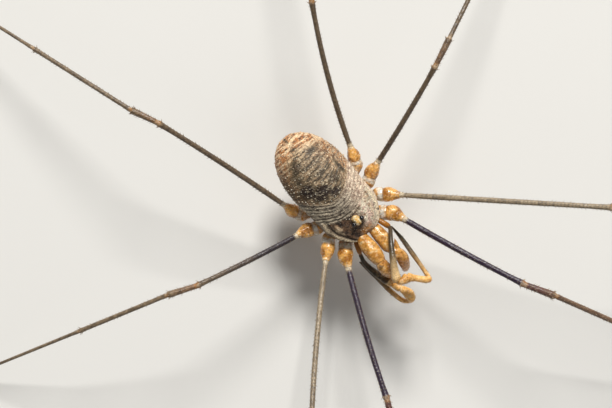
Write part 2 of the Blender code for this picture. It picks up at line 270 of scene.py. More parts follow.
def grid_faces(count, sides):
    """Faces and bake places of so many rings, closed round and at both ends."""
    faces = []
    uvs = []
    across = np.arange(sides + 1) / sides
    along = map_height(np.arange(count), count)
    for i in range(count - 1):
        for j in range(sides):
            after = (j + 1) % sides
            faces.append((i * sides + j, i * sides + after, (i + 1) * sides + after, (i + 1) * sides + j))
            uvs += [(across[j], along[i]), (across[j + 1], along[i]),
                    (across[j + 1], along[i + 1]), (across[j], along[i + 1])]
    for end, hub, level in ((0, count * sides, 0.0), (count - 1, count * sides + 1, 1.0)):
        for j in range(sides):
            after = (j + 1) % sides
            corners = (end * sides + j, hub, end * sides + after)
            places = [(across[j], along[end]), (across[j], level), (across[j + 1], along[end])]
            faces.append(corners if end == 0 else corners[::-1])
            uvs += places if end == 0 else places[::-1]
    return faces, uvs


def capped(rings):
    """The points of rings in one list, then the middles of the first and the last ring."""
    return np.concatenate([rings.reshape(-1, 3), [rings[0].mean(0)], [rings[-1].mean(0)]])


def grid_piece(name, rings, tints, material, slot, *replaced):
    faces, uvs = grid_faces(*rings.shape[:2])
    mesh_piece(name, capped(rings), faces, uvs, capped(tints), material, replaced)


def grid_normals(rings):
    """Outward normals of closed rings."""
    along = np.gradient(rings, axis=0)
    around = (np.roll(rings, -1, axis=1) - np.roll(rings, 1, axis=1)) / 2
    normals = np.cross(around, along)
    normals /= np.maximum(np.linalg.norm(normals, axis=-1, keepdims=True), 1e-9)
    outward = rings - rings.mean(axis=1, keepdims=True)
    if (normals * outward).sum() < 0:
        normals = -normals
    return normals


def sweep(path, radii, sides, flatten=1.0):
    """Rings round a path, turning as little as they can; flatten squeezes them in height."""
    ahead = unit(np.gradient(path, axis=0))
    up = np.array([0.0, 0.0, 1.0])
    if abs(ahead[0, 2]) > 0.9:
        up = np.array([1.0, 0.0, 0.0])
    angles = 2 * math.pi * np.arange(sides) / sides
    rings = np.zeros((len(path), sides, 3))
    for index, direction in enumerate(ahead):
        up = up - direction * up.dot(direction)
        up /= np.linalg.norm(up)
        side = np.cross(direction, up)
        spread = np.outer(np.cos(angles), side) + np.outer(np.sin(angles) * flatten, up)
        rings[index] = path[index] + spread * radii[index]
    return rings


def smooth_line(controls, steps):
    """Catmull-Rom rows through control rows of any width."""
    rows = np.array(controls)
    rows = np.concatenate([[2 * rows[0] - rows[1]], rows, [2 * rows[-1] - rows[-2]]])
    line = []
    for index in range(1, len(rows) - 2):
        before, start, end, after = rows[index - 1:index + 3]
        slope = end - before
        bend = 2 * before - 5 * start + 4 * end - after
        twist = 3 * start - before - 3 * end + after
        for t in np.arange(steps) / steps:
            line.append(0.5 * (2 * start + slope * t + bend * t ** 2 + twist * t ** 3))
    line.append(rows[-2])
    return np.array(line)


# The radius of a spike's bake patch, and the share of its length that starts below the skin
SPIKE_PATCH = 0.0015
SUNK_SHARE = 0.2


def spikes_piece(name, rings, rows, columns, leans, lengths, widths, tints, material, sides=4):
    """Closed, tapered spikes on points of a skin, each with its bake patch there on the skin's map."""
    roots = rings[rows, columns]
    leans = unit(leans)
    helper = np.where(np.abs(leans[:, 2:]) < 0.9, [[0.0, 0.0, 1.0]], [[1.0, 0.0, 0.0]])
    side = unit(np.cross(leans, helper))
    other = np.cross(leans, side)
    lengths = lengths[:, None]
    widths = widths[:, None]
    turns = 2 * math.pi * np.arange(sides) / sides
    feet = roots - leans * lengths * SUNK_SHARE
    points = [feet + (side * math.cos(turn) + other * math.sin(turn)) * widths for turn in turns]
    points.append(roots + leans * lengths)
    points = np.stack(points, axis=1).reshape(-1, 3)
    faces = []
    uvs = []
    for index, (u, v) in enumerate(zip(columns / rings.shape[1], map_height(rows, len(rings)))):
        first = index * (sides + 1)
        rim = [(u + SPIKE_PATCH * math.cos(turn), v + SPIKE_PATCH * math.sin(turn)) for turn in turns]
        for k in range(sides):
            after = (k + 1) % sides
            faces.append((first + k, first + after, first + sides))
            uvs += [rim[k], rim[after], (u, v)]
        faces.append(tuple(first + k for k in reversed(range(sides))))
        uvs += rim[::-1]
    mesh_piece(name, points, faces, uvs, np.repeat(tints, sides + 1, axis=0), material, ())


# Materials
def fill(made, values):
    """Sets a node's inputs by their names."""
    for key, value in values.items():
        made.inputs[key].default_value = value


def node(tree, kind, values=None, **settings):
    made = tree.nodes.new("ShaderNode" + kind)
    for key, value in settings.items():
        setattr(made, key, value)
    fill(made, values or {})
    return made


def wire(source, output, target, entry):
    source.id_data.links.new(source.outputs[output], target.inputs[entry])


def new_material(name):
    """A material with its tree and its shader."""
    material = bpy.data.materials.new(name)
    material.use_nodes = True
    return material, material.node_tree, material.node_tree.nodes["Principled BSDF"]


def cuticle(name, roughness, grain_mm, bump, speckle, spread=0.0, gloss=0.5, coat=0.0):
    """Painted cuticle: the tint of the mesh, broken by speckle and fine grain."""
    material, tree, shader = new_material(name)
    grain = grain_mm * MM
    place = node(tree, "TexCoord")
    tint = node(tree, "Attribute", attribute_name="tint")
    fine = node(tree, "TexNoise", {"Scale": 1.0 / grain, "Detail": 4.0})
    wire(place, "Object", fine, "Vector")
    pebbles = node(tree, "TexVoronoi", {"Scale": 0.8 / grain})
    wire(place, "Object", pebbles, "Vector")

    shade = node(tree, "MapRange", {"From Min": 0.3, "From Max": 0.7, "To Min": 1.0 - speckle,
                                    "To Max": 1.0 + speckle * 0.7})
    wire(fine, "Fac", shade, "Value")
    tone = node(tree, "VectorMath", operation="SCALE")
    wire(tint, "Color", tone, 0)
    wire(shade, "Result", tone, "Scale")
    wire(tone, "Vector", shader, "Base Color")

    rough = node(tree, "MapRange", {"To Min": roughness - 0.08, "To Max": roughness + 0.14})
    wire(fine, "Fac", rough, "Value")
    wire(rough, "Result", shader, "Roughness")

    relief = node(tree, "Math", operation="SUBTRACT")
    wire(fine, "Fac", relief, 0)
    wire(pebbles, "Distance", relief, 1)
    raised = node(tree, "Bump", {"Strength": bump, "Distance": grain * 0.35})
    wire(relief, "Value", raised, "Height")
    wire(raised, "Normal", shader, "Normal")
    fill(shader, {"Specular IOR Level": gloss, "Coat Weight": coat, "Coat Roughness": 0.12})
    if spread:
        fill(shader, {"Subsurface Weight": spread, "Subsurface Radius": (1.0, 0.45, 0.15),
                      "Subsurface Scale": 0.25 * MM})
    return material


SKIN = cuticle("cuticle", 0.46, 0.075, 0.9, 0.66, gloss=0.32)
HORNY = cuticle("amber_cuticle", 0.24, 0.13, 0.55, 0.3, spread=0.1, gloss=0.55, coat=0.3)
LEGGY = cuticle("leg_cuticle", 0.3, 0.07, 0.8, 0.4, gloss=0.6)
PALPY = cuticle("palp_cuticle", 0.3, 0.07, 0.55, 0.32, spread=0.08, gloss=0.5)
STUDDY = cuticle("tubercle_cuticle", 0.4, 0.05, 0.3, 0.12, gloss=0.5)
BRISTLE = cuticle("spine_cuticle", 0.4, 0.05, 0.2, 0.15, gloss=0.5)


# Trunk
def tail_curve(y):
    share = np.clip(y - WIDEST_Y, 0.0, None) / (REAR_Y - WIDEST_Y)
    return np.sqrt(np.clip(1.0 - share ** 2.3, 0.0, None))


def half_width(y):
    wide = WAIST_HALF_WIDTH + (TRUNK_HALF_WIDTH - WAIST_HALF_WIDTH) * ease(1.4, WIDEST_Y, y)
    ahead = np.clip((y - FRONT_Y) / (0.9 - FRONT_Y), 0.0, 1.0)
    width = FRONT_HALF_WIDTH + (wide - FRONT_HALF_WIDTH) * np.sin(ahead * math.pi / 2)
    return np.where(y > WIDEST_Y, TRUNK_HALF_WIDTH * tail_curve(y), width)


def back_height(y):
    rise = ease(FRONT_Y, WIDEST_Y, y) ** 0.7
    return (FRONT_HEIGHT + (BACK_HEIGHT - FRONT_HEIGHT) * rise) * tail_curve(y)


def belly_depth(y):
    rise = ease(FRONT_Y, WIDEST_Y, y)
    return np.maximum((FRONT_DEPTH + (BELLY_DEPTH - FRONT_DEPTH) * rise) * tail_curve(y), 0.0)


def trunk_grid():
    """Rings of the bare trunk with each point's station, its share across and its share up."""
    crowding = np.sin(np.linspace(0, 1, 60)[1:] * math.pi / 2)
    stations = np.concatenate([np.linspace(FRONT_Y + 0.002, CROWDED_Y, 175),
                               CROWDED_Y + (REAR_Y - 0.004 - CROWDED_Y) * crowding])
    angles = 2 * math.pi * (np.arange(TRUNK_SIDES) + 0.5) / TRUNK_SIDES
    station, angle = np.meshgrid(stations, angles, indexing="ij")
    arch = FOLD_ARCH * ease(FRONT_Y, FOLD_Y, station) + BACK_ARCH * ease(FOLD_Y, SADDLE_Y, station)
    arch = arch - (FOLD_ARCH + BACK_ARCH) * ease(SADDLE_Y, 4.9, station)
    across = np.cos(angle)
    up = np.sin(angle)
    hollow = 2.0 - ease(0.8, 3.4, station)
    under = np.sign(across) * np.abs(across) ** hollow
    across = np.where(up < 0, under, across)
    y = station + arch * across ** 2
    nose = (1.0 - np.clip((FRONT_Y + 0.3 - station) / 0.3, 0.0, 1.0) ** 3.0) ** (1 / 3.0)
    x = across * half_width(y) * nose
    tail = tail_curve(y)
    rim = RIM_DEPTH * np.minimum(np.abs(up) / 0.3, 1.0)
    depth = np.maximum(belly_depth(y), RIM_DEPTH * tail)
    low = -rim * tail - (depth - RIM_DEPTH * tail) * np.abs(up) ** hollow
    z = np.where(up > 0, up * back_height(y), low) * nose
    return np.stack([x, y, z], axis=-1), station, across, up


SEGMENT_LINES = (2.22, 2.78, 3.34, 3.9, 4.46, 5.02, 5.56, 6.06, 6.42)
FURROWS = ((0.66, 0.9), (0.87, 0.6), (1.06, 0.6), (1.26, 0.8), (1.46, 0.6), (1.67, 0.6), (1.88, 0.5))
RIDGES = ((0.77, 0.9), (0.97, 0.5), (1.16, 0.5), (1.36, 1.0), (1.57, 0.6), (1.78, 0.6))
BLOTCHES = ((-1.1, 3.3, 0.62, 0.52, 1.0), (-0.5, 2.7, 0.8, 0.52, 1.0), (0.2, 2.25, 0.6, 0.36, 0.85),
            (-0.57, 4.85, 0.52, 0.56, 0.74), (0.7, 5.05, 0.55, 0.26, 0.7), (-1.05, 4.1, 0.4, 0.72, 0.68),
            (0.65, 2.9, 0.5, 0.5, 0.7), (1.4, 3.15, 0.14, 0.65, 0.8), (-0.1, 3.9, 0.45, 0.45, 0.5))
SADDLE_REACH = ((1.7, 2.0, 2.5, 3.6, 4.5, 5.2, 5.8), (0.45, 0.66, 0.74, 0.68, 0.58, 0.44, 0.05))


def margin_share(points, across):
    """The share across, wandering a little so that the carapace's margins are scalloped."""
    return np.abs(across) + 0.1 * (clouds(points, 2.8, 2, 34) - 0.5)


def fold_sway(points):
    """How far the folds wander forward and back, in millimetres."""
    return 0.11 * (clouds(points, 1.9, 2, 12) - 0.5)


def drawn_out(points, station, wide, long):
    """Places for noise that is drawn out across the body."""
    return np.stack([points[..., 0] * wide, station * long, points[..., 2] * wide], axis=-1)


def trunk_relief(points, station, across, up):
    """How far the skin stands off the bare trunk, in millimetres."""
    top = ease(-0.15, 0.2, up)
    relief = np.zeros(station.shape) - 0.015
    swayed = station + fold_sway(points)
    for line in SEGMENT_LINES:
        relief -= 0.018 * bell(station, line, 0.055)
    for line, weight in FURROWS:
        relief -= top * 0.034 * weight * bell(swayed, line, 0.04)
    for line, weight in RIDGES:
        relief += top * 0.024 * weight * bell(swayed, line, 0.05)
    behind = ease(0.6, 1.4, station)
    relief += behind * 0.04 * (clouds(drawn_out(points, station, 1.6, 10.0), 1.0, 3, 5) - 0.5)
    relief += 0.03 * np.clip(0.55 - grains(points, 8.5, 3), 0.0, 1.0)
    front = 1.0 - behind
    share = margin_share(points, across)
    edge = bell(share, OUTER_MARGIN, 0.05) + 0.6 * bell(share, INNER_MARGIN, 0.06)
    relief += front * top * (0.05 * edge - 0.04 * bell(share, GUTTER, 0.045))
    relief += front * top * 0.07 * (clouds(points, 2.6, 3, 8) - 0.5)
    return relief


def abdomen_tint(points, station, across, up):
    """Brown with a dark blotched saddle, pale streaks and specks, rust along the sides and tail."""
    x, y = points[..., 0], points[..., 1]
    share = np.abs(across)
    streak = clouds(drawn_out(points, station, 2.4, 12.0), 1.0, 2, 21)
    fine = clouds(points, 9.5, 2, 22)
    blotch = clouds(points, 1.5, 3, 23)
    speck = fade(0.22, 0.36, grains(points, 7.5, 26))
    rust = mix(RUST, PALE_RUST, ease(0.35, 0.65, blotch))
    flank = ease(0.45, 0.95, share + (blotch - 0.5) * 0.5)
    rear = ease(4.6, 5.9, station + (blotch - 0.5) * 1.4)
    colour = paint(
        mix(BROWN, TAN, ease(0.32, 0.6, streak * 0.5 + fine * 0.5)),
        (rust, 0.6 * flank * ease(0.3, 0.6, fine)),
        (rust, 0.9 * rear * ease(0.2, 0.44, fine)),
        (PALE, 0.8 * ease(0.52, 0.66, streak)),
        (CREAM, 0.9 * speck * ease(0.32, 0.5, fine)),
        (BROWN, 0.6 * fade(0.34, 0.44, fine)),
        (TAIL_STREAK, 0.85 * rear * ease(0.46, 0.6, streak)))

    reach = np.interp(station, *SADDLE_REACH)
    reach = reach * (1.0 - 0.26 * ease(0.1, 0.5, across) * ease(2.4, 3.2, station))
    wander = (blotch - 0.5) * 0.45 + (streak - 0.5) * 0.25
    inside = fade(-0.1, 0.12, share - reach + wander) * ease(1.62, 1.95, station + (fine - 0.5) * 0.3)
    dark = inside * (0.41 + 0.28 * fade(0.4, 0.54, streak))
    for middle_x, middle_y, wide, long, depth in BLOTCHES:
        away = ((x - middle_x) / wide) ** 2 + ((y - middle_y) / long) ** 2
        dark = np.maximum(dark, depth * ease(0.0, 0.2, up) * np.exp(0.6 * (fine - 0.5) - 0.8 * away ** 1.5))
    grit = 0.48 + 0.3 * dark + 0.5 * ease(0.36, 0.54, 1.0 - 0.6 * fine - 0.4 * streak)
    sparse = speck * ease(0.46, 0.56, clouds(points, 4.0, 2, 27)) * inside
    low = ease(0.6, 0.9, -across) * fade(4.2, 5.4, station)
    colour = paint(
        colour,
        (mix(SADDLE_OLIVE, DARK, ease(0.5, 0.85, dark)), np.clip(1.4 * dark * grit, 0.0, 0.98)),
        (SADDLE_SPECK, 0.85 * sparse),
        (FLANK_SHADE, 0.85 * low * ease(0.2, 0.45, 1.0 - fine * 0.8)),
        *((DARK, 0.22 * bell(station, line, 0.035)) for line in SEGMENT_LINES))

    swayed = station + fold_sway(points)
    lead = fade(1.6, 2.0, station + (fine - 0.5) * 0.25)
    # Share on the left side of the folds, lighter there partly as colour and partly as painted light
    left = ease(-0.15, 0.65, across)
    threads = clouds(drawn_out(points, swayed, 1.5, 17.0), 1.0, 2, 28)
    stony = paint(
        mix(DARK, FOLD_STONE, ease(0.36, 0.58, 0.6 * threads + 0.4 * fine)),
        # Painted shade darkening the middle and right of the folds
        (DARK, 0.16 * (1 - share) * (1 - left)),
        (mix(FOLD_BROWN, FOLD_CREAM, ease(0.36, 0.6, fine)), 0.92 * left))
    colour = mix(colour, stony, 0.88 * lead)
    # Dark lines along the furrows: painted shade in the creases, weaker on the lit left side
    for line, weight in FURROWS:
        colour = mix(colour, DARK, 0.75 * weight * (1.0 - 0.65 * left) * lead * bell(swayed, line, 0.03))
    pale = mix(STONE, RIDGE_PALE, ease(0.15, 0.75, share))
    broken = 0.5 + 0.5 * ease(0.42, 0.56, clouds(points, 2.6, 2, 29))
    for line, weight in RIDGES:
        colour = mix(colour, pale, 0.95 * weight * lead * broken * bell(swayed, line, 0.032))
    return colour


def shield_tint(points, across):
    """Carapace: pale mottled left side and dark right side, partly pigment and partly painted light and
    shade, both with raised cream margins.
    """
    x, y = points[..., 0], points[..., 1]
    share = margin_share(points, across)
    fine = clouds(points, 8.0, 2, 32)
    mottle = clouds(points, 3.4, 3, 31)
    # Share on the right side, whose dark tone is partly pigment and partly painted shade; the left side's
    # light tone is partly painted light
    right = ease(-0.1, 0.22, -across)
    pinkish = mix(SHIELD_PINK, SHIELD_CREAM, ease(0.38, 0.6, fine))
    bright = mix(mix(TAN, STONE, ease(0.4, 0.6, fine)), pinkish, ease(0.28, 0.46, mottle))
    dusky_and_shaded = mix(mix(DARK, BROWN, ease(0.3, 0.6, fine)), TAN, ease(0.55, 0.72, mottle))
    middle = fade(0.16, 0.34, share + (mottle - 0.5) * 0.25)
    patches = ease(0.42, 0.56, clouds(points, 2.2, 3, 33))
    inner = bell(share, INNER_MARGIN, 0.07) * patches
    outer = bell(share, OUTER_MARGIN, 0.065) * (0.55 + 0.45 * patches)
    # Front of the carapace inside the margins, where a dark patch is painted
    nose = fade(-0.55, -0.05, y) * fade(0.62, 0.85, share)
    lip = bell(x, 0.15, 0.42, 4) * fade(-0.75, -0.35, y)
    shield = paint(
        # Lit left tone blended into the shaded right tone
        mix(bright, dusky_and_shaded, right),
        (mix(DARK, BROWN, ease(0.4, 0.6, fine)), 0.85 * middle),
        # Darkened along the gutter, and more on the right side as painted shade
        (DARK, (0.3 + 0.5 * right) * bell(share, GUTTER, 0.05)),
        (mix(PALE, CREAM, fine), 0.8 * inner),
        (CREAM, 0.92 * outer),
        # Dark front patch, stronger on the right side as painted shade
        (mix(DARK, BROWN, ease(0.35, 0.65, fine)), nose * (0.35 + 0.55 * right)),
        (mix(AMBER, TAN, ease(0.35, 0.6, fine)), 0.8 * lip))
    for side in SIDES.values():
        pore = ((x - side * 1.42) / 0.1) ** 2 + ((y + 0.26) / 0.07) ** 2
        shield = mix(shield, DARK, 0.95 * np.exp(-pore ** 2))
    return shield


def trunk_tint(points, station, across, up):
    colour = abdomen_tint(points, station, across, up)
    colour = mix(colour, shield_tint(points, across), fade(0.5, 0.64, station))
    under = mix(mix(ORANGE, TAN, 0.35), PALE, ease(0.35, 0.75, clouds(points, 2.0, 3, 41)) * 0.7)
    under = mix(under, TAN, ease(3.6, 5.6, station) * 0.6)
    return mix(colour, under, fade(-0.45, -0.05, up))


def lift_mound(points):
    """Raises the eye mound out of the carapace."""
    x, y, z = np.moveaxis(points, -1, 0)
    inside = 1.0 - (x / MOUND["half_width"]) ** 2 - ((y - MOUND["y"]) / MOUND["half_length"]) ** 2
    crest = back_height(np.zeros(1))[0] + MOUND["height"] * np.sqrt(np.clip(inside, 0.0, None))
    lifted = (inside > 0) & (z > 0)
    points[..., 2] = np.where(lifted, np.maximum(z, crest - 0.015), z)
    return np.where(lifted, inside, 0.0)


def make_trunk():
    """The trunk's skin; gives its points, normals, stations, shares across and up, and tints."""
    points, station, across, up = trunk_grid()
    tints = trunk_tint(points, station, across, up)
    relief = trunk_relief(points, station, across, up)
    inside = lift_mound(points)
    normals = grid_normals(points)
    points = points + normals * relief[..., None]
    yellow = mix(MOUND_YELLOW, MOUND_PALE, ease(0.4, 0.62, clouds(points, 7.0, 2, 51)))
    tints = mix(tints, yellow, ease(0.0, 0.14, inside))
    grid_piece("trunk_skin", points, tints, SKIN, "abdomen", "opisthosoma", "prosoma")
    return points, normals, station, across, up, tints


def nearest_column(across_row, up_row, share):
    """The column of a ring on the back whose share across is nearest."""
    cost = np.abs(across_row - share) + np.where(up_row > 0, 0.0, 9.0)
    return int(np.argmin(cost))


def nearest_point(points, allowed, x, y):
    """The row and column of the trunk's allowed point that lies nearest above or below a place."""
    gap = (points[..., 0] - x) ** 2 + (points[..., 1] - y) ** 2 + np.where(allowed, 0.0, 9.0)
    return np.unravel_index(int(np.argmin(gap)), gap.shape)


STUD_ROWS = ((0.6, 0.8), (1.2, 1.0), (1.52, 0.8), (1.98, 1.0),
             *((line - 0.17, 1.0) for line in SEGMENT_LINES))
MOUND_STUDS = (*((0.11, y, 0.9) for y in np.linspace(-0.18, 0.34, 6)), (0.3, 0.44, 1.5), (0.43, 0.52, 1.1),
               (0.16, 0.56, 1.1), (0.5, -0.02, 0.9), (0.46, -0.22, 0.9), (0.36, -0.34, 0.8),
               (0.2, -0.52, 0.9), (0.07, -0.6, 1.0))
# Studs in a row for each millimetre of the trunk's half width
STUD_CROWDING = 10.0
SMALL_STUDS = 1500
STUD_LENGTH = 0.07
STUD_WIDTH = 0.038


def make_tubercles(points, normals, station, across, up, below):
    """Rows of pale studs across the back, two rows on the eye mound, and scattered small ones."""
    lines = station[:, 0]
    picks = []
    for row, weight in STUD_ROWS:
        index = int(np.argmin(np.abs(lines - row)))
        count = max(int(half_width(np.array(row)) * STUD_CROWDING), 3)
        for k in range(count):
            share = math.sin((k + 0.5 + rng.uniform(-0.3, 0.3)) / count * math.pi - math.pi / 2)
            picks.append((index + rng.integers(-2, 3), nearest_column(across[index], up[index], share),
                          weight * rng.uniform(0.85, 1.4)))
    for _ in range(SMALL_STUDS):
        picks.append((rng.integers(12, len(lines) - 6), rng.integers(2, TRUNK_SIDES // 2 - 2),
                      rng.uniform(0.3, 0.72)))
    for side in SIDES.values():
        for x, y, size in MOUND_STUDS:
            picks.append((*nearest_point(points, up > 0, side * x, y), size))
    rows, columns, sizes = (np.array(values) for values in zip(*picks))
    leans = normals[rows, columns] + (0.0, 0.35, 0.0)
    tints = mix(WHITISH, CREAM, rng.uniform(0, 1, len(picks)))
    tints = mix(tints, RUST, 0.55 * ease(3.8, 6.2, station[rows, 0]) * rng.uniform(0.2, 1, len(picks)))
    tints = mix(tints, below[rows, columns], np.where(sizes < 0.72, 0.72, 0.3))
    spikes_piece("tubercles", points, rows, columns, leans, sizes * STUD_LENGTH, sizes * STUD_WIDTH, tints,
                 STUDDY, 6)


# Eyes
def make_eyes():
    glass, tree, shader = new_material("eye_black")
    cloud = node(tree, "TexNoise", {"Scale": 1.0 / (0.08 * MM)})
    place = node(tree, "TexCoord")
    wire(place, "Object", cloud, "Vector")
    ramp = node(tree, "ValToRGB")
    ramp.color_ramp.elements[0].color = EYE_BLACK
    ramp.color_ramp.elements[1].color = EYE_BROWN
    wire(cloud, "Fac", ramp, "Fac")
    wire(ramp, "Color", shader, "Base Color")
    fill(shader, {"Roughness": 0.05, "Coat Weight": 0.6})
    for side, middle in EYES.items():
        centre = (np.array(middle) - CENTRE) / MM
        steps = np.linspace(0.02, math.pi - 0.02, 24)
        line = centre + np.outer(np.cos(steps), [0, 0, EYE_RADIUS])
        rings = sweep(line[::-1], np.sin(steps)[::-1] * EYE_RADIUS, 32)
        grid_piece("eye_" + side + "_ball", rings, np.zeros(rings.shape) + 0.01, glass, "eye", "eye_" + side)


# Hips
# Places, lengths and the bulb's radius are in millimetres; headings, rise and drop in degrees
PAIR_KEYS = ("hip", "root", "bulb", "hip_heading", "rise", "drop", "femur", "patella", "tibia", "metatarsus",
             "tarsus")
LEG_PAIRS = {pair: dict(zip(PAIR_KEYS, row)) for pair, row in enumerate((
    ((1.96, -1.1, -0.66), (0.9, -0.36, -1.04), 0.46, 46, 14, 20, 9.15, 2.0, 7.4, 9.0, 11.0),
    ((2.54, -0.1, -0.62), (0.92, 0.36, -1.12), 0.42, 52, 18, 24, 14.0, 2.3, 12.0, 11.5, 15.0),
    ((2.68, 1.65, -0.65), (0.92, 1.06, -1.28), 0.42, 116, 20, 20, 7.8, 1.85, 6.2, 8.0, 11.0),
    ((2.5, 3.12, -1.05), (0.95, 1.78, -1.6), 0.38, 152, 18, 20, 10.1, 1.75, 7.6, 10.5, 12.5),
), 1)}
# Headings and bends in degrees, then the colours of the femur's near and far end and of the shank
LEG_KEYS = ("side", "pair", "femur", "bow", "patella", "shank", "curl", "looks")
LEGS = [dict(zip(LEG_KEYS, row)) for row in (
    ("left", 1, 19.2, 2, 27.7, 24.3, 18, (VIOLET, VIOLET, WARM)),
    ("right", 1, 25.9, -3, 29.0, 27.0, 22, (VIOLET, VIOLET, WARM)),
    ("left", 2, 44.5, 0, 48.0, 52.0, 34, (LEG_PALE, LEG_PALE, LEG_TAN)),
    ("right", 2, 46.5, -4, 50.0, 55.0, 28, (LEG_PALE, LEG_TAN, LEG_TAN)),
    ("left", 3, 107.2, 2, 111.3, 111.4, -16, (DUSK, GREY, GREY)),
    ("right", 3, 105.4, 2, 114.4, 109.5, -20, (BLACK, GREY, LEG_TAN)),
    ("left", 4, 153.5, -6, 150.0, 152.0, -24, (GREY, GREY, GREY)),
    ("right", 4, 165.2, -2, 157.4, 164.2, -30, (GREY, GREY, LEG_TAN)),
)]
TARSUS_BEND = 3.0
COXA_RISE = 12.0
COXA_SINK = 0.14
CAD_FOOT_RADIUS = 0.25
FLAT_SHARE = math.cos(math.radians(22.5))
LEG_SIDES = 14


def leg_name(leg):
    return "leg_" + leg["side"] + "_" + str(leg["pair"])


def sided(point, side):
    return np.array(point) * (side, 1.0, 1.0)


HIP_SIDES = 36
HIP_PROFILE = ((-9.0, 0.62), (-3.2, 0.72), (-2.6, 0.8), (-2.1, 0.9), (-1.7, 0.97), (-1.3, 1.0), (-1.0, 0.95),
               (-0.88, 0.93), (-0.76, 0.98), (-0.4, 1.05), (0.0, 1.02), (0.35, 0.94), (0.7, 0.81),
               (1.0, 0.67), (1.25, 0.55), (1.45, 0.49), (1.62, 0.46), (1.66, 0.1))
HIP_SPINES = 40
# Where the bulb ends, in bulb radii beyond its middle
BULB_END = 1.66


def facing(heading, slope, side):
    """The direction at a heading from straight ahead, rising by a slope, both in degrees."""
    heading = math.radians(heading)
    slope = math.radians(slope)
    level = math.cos(slope)
    return np.array([side * math.sin(heading) * level, -math.cos(heading) * level, math.sin(slope)])


def belly_level(trunk, place):
    """The height of the trunk's underside above or below a place."""
    points, up = trunk[0], trunk[4]
    return points[nearest_point(points, up < 0, place[0], place[1])][2]


def make_hip(leg, trunk):
    """Coxa and trochanter: an arm from the underside, its whitish end, and an orange bulb."""
    pair = LEG_PAIRS[leg["pair"]]
    side = SIDES[leg["side"]]
    root = sided(pair["root"], side)
    hip = sided(pair["hip"], side)
    bulb = pair["bulb"]
    ahead = facing(pair["hip_heading"], COXA_RISE, side)
    beyond = facing(leg["femur"] - leg["bow"], pair["rise"] + 4, side)
    arm_end = hip - ahead * 2.0 * bulb
    inner = root - (arm_end - root) * 0.3
    inner[2] = belly_level(trunk, inner) + COXA_SINK
    controls = [(*inner, -2.0 - 1.3 * np.linalg.norm(arm_end - root) / bulb), (*arm_end, -2.0),
                (*(hip - ahead * bulb), -1.0), (*hip, 0.0), (*(hip + beyond * 0.8 * bulb), 0.8),
                (*(hip + beyond * BULB_END * bulb), BULB_END)]
    rows = smooth_line(controls, 24)
    along = rows[:, 3]
    radii = np.interp(along, *zip(*HIP_PROFILE)) * bulb
    radii = np.convolve(np.pad(radii, 1, "edge"), np.ones(3) / 3, "valid")
    radii *= np.sqrt(ease(-0.02, 0.22, np.linspace(0, 1, len(along))))
    rings = sweep(rows[:, :3], radii, HIP_SIDES)
    normals = grid_normals(rings)
    lumps = clouds(rings, 3.2, 3, 60 + leg["pair"])
    pebbles = np.clip(0.62 - grains(rings, 5.5, 9), 0, 1)
    rings = rings + normals * (0.05 * (lumps - 0.5) + 0.035 * pebbles)[..., None]

    place = along[:, None]
    fine = clouds(rings, 7.0, 3, 61)
    # Share facing up, used for the cap's painted highlight
    upper = ease(-0.5, 0.5, normals[..., 2])
    cap = bell(place + 1.28 + 0.25 * (lumps - 0.5), 0.0, 0.36, 4)
    colour = paint(
        mix(AMBER, ORANGE, ease(0.32, 0.62, lumps)),
        (HIP_DAB, 0.6 * ease(0.1, 0.4, pebbles) * ease(0.4, 0.58, fine)),
        (HIP_SHADE, 0.45 * fade(0.36, 0.46, lumps)),
        # Whitish cap, whiter on its upper side as a painted highlight
        (mix(PALE, WHITISH, ease(0.35, 0.55, fine)), cap * (0.55 + 0.43 * upper)),
        (mix(TAN, PALE, ease(0.35, 0.65, fine)), 0.75 * fade(-2.2, -1.7, place)),
        (BROWN, 0.55 * bell(place, -0.88, 0.06)),
        (CREAM, 0.6 * ease(1.15, 1.45, place) * ease(0.35, 0.5, fine)))
    name = leg_name(leg) + "_hip"
    grid_piece(name, rings, colour, HORNY, "hip", leg_name(leg) + "_coxa")
    columns = rng.integers(0, HIP_SIDES, HIP_SPINES)
    rows = rng.integers(30, len(along) - 8, HIP_SPINES)
    tints = mix(WHITISH, CREAM, rng.uniform(0, 1, HIP_SPINES))
    spikes_piece(name + "_spines", rings, rows, columns, normals[rows, columns] + 0.4 * ahead,
                 rng.uniform(0.06, 0.11, HIP_SPINES), rng.uniform(0.016, 0.026, HIP_SPINES), tints, STUDDY,
                 5)


# Legs
PROFILES = {
    "femur": ((0, 0.02, 0.06, 0.15, 0.5, 0.88, 0.95, 0.985, 1),
              (0.16, 0.15, 0.135, 0.165, 0.165, 0.15, 0.17, 0.2, 0.15)),
    "patella": ((0, 0.06, 0.2, 0.6, 0.85, 0.95, 1), (0.15, 0.165, 0.165, 0.19, 0.205, 0.19, 0.13)),
    "tibia": ((0, 0.02, 0.06, 0.5, 0.92, 0.98, 1), (0.13, 0.15, 0.135, 0.135, 0.135, 0.155, 0.12)),
    "metatarsus": ((0, 0.02, 0.06, 0.5, 1), (0.12, 0.125, 0.105, 0.095, 0.085)),
    "tarsus": ((0, 0.03, 0.5, 0.93, 1), (0.085, 0.08, 0.06, 0.042, 0.03)),
}
RING_STEP = 0.075
FIRST_LEG_STOUTNESS = 1.14
CLAW_TIP = 0.012
FOOT_LIFT = 0.012
# Segment, whether a pale ring at a joint starts (ease) or ends (fade) there, and between which shares
KNEES = ((0, ease, 0.965, 0.985), (1, ease, 0.9, 0.96), (1, fade, 0.04, 0.1), (2, fade, 0.005, 0.02),
         (2, ease, 0.97, 0.99), (3, fade, 0.004, 0.012))


